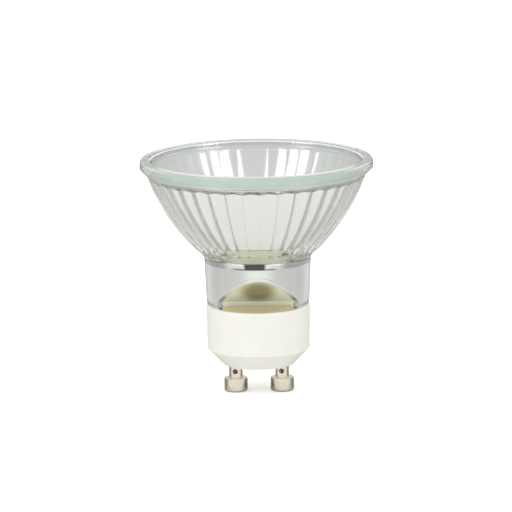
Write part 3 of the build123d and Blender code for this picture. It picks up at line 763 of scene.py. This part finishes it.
class BULB_OT_burner(bpy.types.Operator):
    """Finish the quartz capsule and its wires, and wind the filament"""

    bl_idname = "bulb.burner"
    bl_label = "Burner and Filament"

    def execute(self, context):
        colours = context.scene.bulb_colours
        wear("burner_capsule", quartz())
        tungsten = drawn_wire("Drawn tungsten", tuple(colours.tungsten), 0.38)
        molybdenum = drawn_wire("Rolled molybdenum", tuple(colours.molybdenum), 0.34)
        nickel = drawn_wire("Annealed nickel wire", linear("#B4AFA4"), 0.4)
        wear("filament_support", tungsten)
        for side in ("left", "right"):
            wear("inner_lead_" + side, molybdenum)
            wear("foil_" + side, molybdenum)
            wear("outer_lead_" + side, nickel)
        self.wind(context, tungsten)
        return {"FINISHED"}

    def wind(self, context, tungsten):
        """Winds the coil along an inverted U, between the tops of the two leads."""
        sizes = context.scene.bulb_coil
        low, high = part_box("filament")
        half = sizes.spacing / 2
        arch = high.z - (high.x - half) - half
        curve = bpy.data.curves.new("filament_path", "CURVE")
        curve.dimensions = "3D"
        spline = curve.splines.new("POLY")
        bend = [(-half * cos(pi * i / 24), arch + half * sin(pi * i / 24)) for i in range(25)]
        path = [(-half, low.z)] + bend + [(half, low.z)]
        spline.points.add(len(path) - 1)
        for point, (x, z) in zip(spline.points, path):
            point.co = (x, 0, z, 1)
        source = bpy.data.objects.new("filament_path", curve)
        context.scene.collection.objects.link(source)
        values = {"Turns": sizes.turns, "Coil radius": sizes.radius, "Wire radius": sizes.wire, "Material": tungsten}
        run_nodes(source, self.coil_tree(), values)
        plain_piece("filament_coil", source, ["filament"])

    def coil_tree(self):
        """Geometry nodes that wind a wire round a path."""
        numbers = [("Turns", "Int"), ("Coil radius", "Float"), ("Wire radius", "Float")]
        tree, given = new_group("Wound coil", numbers)
        count = add(tree, "ShaderNodeMath", {0: given["Turns"], 1: POINTS_PER_TURN}, operation="MULTIPLY")
        line = add(tree, "GeometryNodeResampleCurve", {"Curve": given["Geometry"], "Count": count})
        share = add(tree, "GeometryNodeSplineParameter").outputs["Factor"]
        turned = add(tree, "ShaderNodeMath", {0: share, 1: given["Turns"]}, operation="MULTIPLY")
        angle = add(tree, "ShaderNodeMath", {0: turned, 1: 2 * pi}, operation="MULTIPLY")
        sideways = add(tree, "ShaderNodeMath", {0: angle}, operation="COSINE")
        outward = add(tree, "ShaderNodeMath", {0: angle}, operation="SINE")
        along = add(tree, "GeometryNodeInputTangent")
        across = (0.0, 1.0, 0.0)
        normal = add(tree, "ShaderNodeVectorMath", {0: along, 1: across}, operation="CROSS_PRODUCT")
        first = add(tree, "ShaderNodeVectorMath", {0: normal, "Scale": sideways}, operation="SCALE")
        second = add(tree, "ShaderNodeVectorMath", {0: across, "Scale": outward}, operation="SCALE")
        both = add(tree, "ShaderNodeVectorMath", {0: first, 1: second}, operation="ADD")
        offset = add(tree, "ShaderNodeVectorMath", {0: both, "Scale": given["Coil radius"]}, operation="SCALE")
        # The offset is stored before the line moves, so that the path's own direction is used
        told = {"Geometry": line, "Name": "offset", "Value": offset}
        held = add(tree, "GeometryNodeStoreNamedAttribute", told, data_type="FLOAT_VECTOR")
        stored = add(tree, "GeometryNodeInputNamedAttribute", {"Name": "offset"}, data_type="FLOAT_VECTOR")
        helix = add(tree, "GeometryNodeSetPosition", {"Geometry": held, "Offset": stored})
        ring = add(tree, "GeometryNodeCurvePrimitiveCircle", {"Resolution": 6, "Radius": given["Wire radius"]})
        wire = add(tree, "GeometryNodeCurveToMesh", {"Curve": helix, "Profile Curve": ring, "Fill Caps": True})
        return end_group(tree, wire, given["Material"])


class BULB_OT_stage(bpy.types.Operator):
    """Set the white floor, the soft light and the camera"""

    bl_idname = "bulb.stage"
    bl_label = "Stage, Light and Camera"

    def execute(self, context):
        scene, studio = context.scene, context.scene.bulb_studio
        self.floor(scene)
        self.world(scene, studio)
        for name, side, power in (("key_softbox", -1, studio.key), ("fill_softbox", 1, studio.fill)):
            lamp = bpy.data.lights.new(name, "AREA")
            lamp.shape = "SQUARE"
            lamp.size = SOFTBOX_SIZE
            lamp.energy = power
            holder = bpy.data.objects.new(name, lamp)
            holder.location = (side * SOFTBOX_PLACE[0], *SOFTBOX_PLACE[1:])
            holder.rotation_euler = (SOFTBOX_AIM - holder.location).to_track_quat("-Z", "Y").to_euler()
            scene.collection.objects.link(holder)
        self.camera(scene, studio)
        scene.view_settings.view_transform = "Standard"
        scene.cycles.max_bounces = 32
        scene.cycles.glossy_bounces = 24
        scene.cycles.transmission_bounces = 32
        return {"FINISHED"}

    def floor(self, scene):
        """A white floor that glows just enough to meet the white behind it, and still takes the bulb's shadow."""
        finish, tree, place = new_finish("White paper sweep")
        path = add(tree, "ShaderNodeLightPath").outputs
        mirrored, bent = path["Is Glossy Ray"], path["Is Transmission Ray"]
        across, depth, _ = add(tree, "ShaderNodeSeparateXYZ", {0: place}).outputs
        behind = add(tree, "ShaderNodeMapRange", {"Value": depth, "From Min": GLOW_FROM, "From Max": GLOW_TO})
        through = add(tree, "ShaderNodeMath", {0: bent, 1: behind}, operation="MULTIPLY")
        seen = add(tree, "ShaderNodeMath", {0: path["Is Camera Ray"], 1: through}, operation="MAXIMUM")
        # Painted reflection: for rays through the glass the floor is painted greyer on both sides of a white strip,
        # so that the bulb's neck keeps its round
        aside = add(tree, "ShaderNodeMath", {0: across}, operation="ABSOLUTE")
        limits = {"From Min": GREY_FROM, "From Max": GREY_TO, "To Max": GLASS_REFLECTION_GREY}
        edge = add(tree, "ShaderNodeMapRange", {"Value": aside, **limits})
        grey = add(tree, "ShaderNodeMath", {0: bent, 1: edge}, operation="MULTIPLY")
        # Painted reflection: for rays that bare metal mirrors, the floor behind the bulb is painted darker than in
        # front, and the pins' sides show it
        past = add(tree, "ShaderNodeMapRange", {"Value": depth, "From Min": SHADE_FROM, "From Max": SHADE_TO})
        bare = add(tree, "ShaderNodeMath", {0: mirrored, 1: bent}, operation="SUBTRACT")
        metal = add(tree, "ShaderNodeMath", {0: bare, 1: past}, operation="MULTIPLY")
        grey = add(tree, "ShaderNodeMath", {0: grey, 1: metal}, operation="MAXIMUM")
        # The floor's own white, and the darker colour of its painted reflections
        white = linear("#F2F2F0")
        shade = tuple(METAL_REFLECTION_SHADE * value for value in white[:3]) + (1.0,)
        tone = add(tree, "ShaderNodeMix", {"Factor": grey, 6: white, 7: shade}, data_type="RGBA").outputs[2]
        paper = add(tree, "ShaderNodeBsdfDiffuse", {"Color": tone})
        strength = add(tree, "ShaderNodeMath", {0: seen, 1: FLOOR_GLOW}, operation="MULTIPLY")
        glow = add(tree, "ShaderNodeEmission", {"Strength": strength})
        both = add(tree, "ShaderNodeAddShader", {0: paper, 1: glow})
        add(tree, "ShaderNodeOutputMaterial", {"Surface": both})
        mesh = bpy.data.meshes.new("floor")
        corners = [(x * FLOOR_REACH, y * FLOOR_REACH, 0) for x, y in ((-1, -1), (1, -1), (1, 1), (-1, 1))]
        mesh.from_pydata(corners, [], [(0, 1, 2, 3)])
        mesh.materials.append(finish)
        floor = bpy.data.objects.new("floor", mesh)
        scene.collection.objects.link(floor)

    def world(self, scene, studio):
        """White behind the bulb, a shade greyer round the camera, and an even, weaker light for the rest."""
        world = bpy.data.worlds.new("White studio")
        world.use_nodes = True
        tree = world.node_tree
        tree.nodes.clear()
        path = add(tree, "ShaderNodeLightPath").outputs
        mirrored = path["Is Glossy Ray"]
        turned = add(tree, "ShaderNodeMath", {0: mirrored, 1: path["Is Transmission Ray"]}, operation="MAXIMUM")
        way = add(tree, "ShaderNodeSeparateXYZ", {0: add(tree, "ShaderNodeTexCoord").outputs["Generated"]}).outputs
        sideways = add(tree, "ShaderNodeMath", {0: way["X"]}, operation="ABSOLUTE")
        aside = add(tree, "ShaderNodeMapRange", {"Value": sideways, "From Min": 0.35, "From Max": 0.8})
        over = add(tree, "ShaderNodeMapRange", {"Value": way["Z"], "From Min": 0.2, "From Max": 0.5})
        greyer = add(tree, "ShaderNodeMath", {0: aside, 1: over}, operation="MAXIMUM")
        tones = {"To Min": studio.front_tone, "To Max": studio.side_tone}
        front = add(tree, "ShaderNodeMapRange", {"Value": greyer, **tones})
        back = add(tree, "ShaderNodeMapRange", {"Value": way["Y"], "From Min": 0.0, "From Max": 0.35})
        sheen = add(tree, "ShaderNodeMapRange", {"Value": mirrored, "To Min": 1.0, "To Max": studio.back_tone})
        room = add(tree, "ShaderNodeMix", {"Factor": back, 2: front, 3: sheen})
        soft = add(tree, "ShaderNodeMix", {"Factor": turned, 2: studio.world, 3: room})
        level = add(tree, "ShaderNodeMix", {"Factor": path["Is Camera Ray"], 2: soft, 3: 1.0})
        sky = add(tree, "ShaderNodeBackground", {"Color": (1, 1, 1, 1), "Strength": level})
        add(tree, "ShaderNodeOutputWorld", {"Surface": sky})
        scene.world = world

    def camera(self, scene, studio):
        """The photo's viewpoint: a long lens, a little above the lamp."""
        lens = bpy.data.cameras.new("photo_camera")
        lens.sensor_width = 36.0
        lens.lens = studio.focal
        holder = bpy.data.objects.new("photo_camera", lens)
        away, up = studio.distance * cos(studio.elevation), studio.distance * sin(studio.elevation)
        place = Vector((0, -away, CAMERA_BASE + up))
        aim = Vector((studio.aim_x, 0, studio.aim_z))
        turn = (aim - place).to_track_quat("-Z", "Y").to_matrix().to_4x4()
        holder.matrix_world = Matrix.Translation(place) @ turn @ Matrix.Rotation(-studio.roll, 4, "Z")
        scene.collection.objects.link(holder)
        scene.camera = holder


class BULB_PT_panel(bpy.types.Panel):
    """Lists the bulb's operators in the order in which they run"""

    bl_label = "Reflector Bulb"
    bl_idname = "BULB_PT_panel"
    bl_space_type = "VIEW_3D"
    bl_region_type = "UI"
    bl_category = "Bulb"

    def draw(self, context):
        for step in OPERATORS:
            self.layout.operator(step.bl_idname)
        for group in GROUPS:
            box = self.layout.box()
            settings = getattr(context.scene, group)
            for name in settings.__annotations__:
                box.prop(settings, name)


OPERATORS = (
    BULB_OT_reflector_glass, BULB_OT_mirror_film, BULB_OT_front_glass, BULB_OT_cap, BULB_OT_burner, BULB_OT_stage,
)
CLASSES = (*GROUPS.values(), *OPERATORS, BULB_PT_panel)


def register():
    for cls in CLASSES:
        bpy.utils.register_class(cls)
    for name, group in GROUPS.items():
        setattr(bpy.types.Scene, name, PointerProperty(type=group))


def unregister():
    for name in GROUPS:
        delattr(bpy.types.Scene, name)
    for cls in reversed(CLASSES):
        bpy.utils.unregister_class(cls)


def main():
    register()
    bpy.ops.bulb.reflector_glass()
    bpy.ops.bulb.mirror_film()
    bpy.ops.bulb.front_glass()
    bpy.ops.bulb.cap()
    bpy.ops.bulb.burner()
    bpy.ops.bulb.stage()


if __name__ == "__main__":
    main()
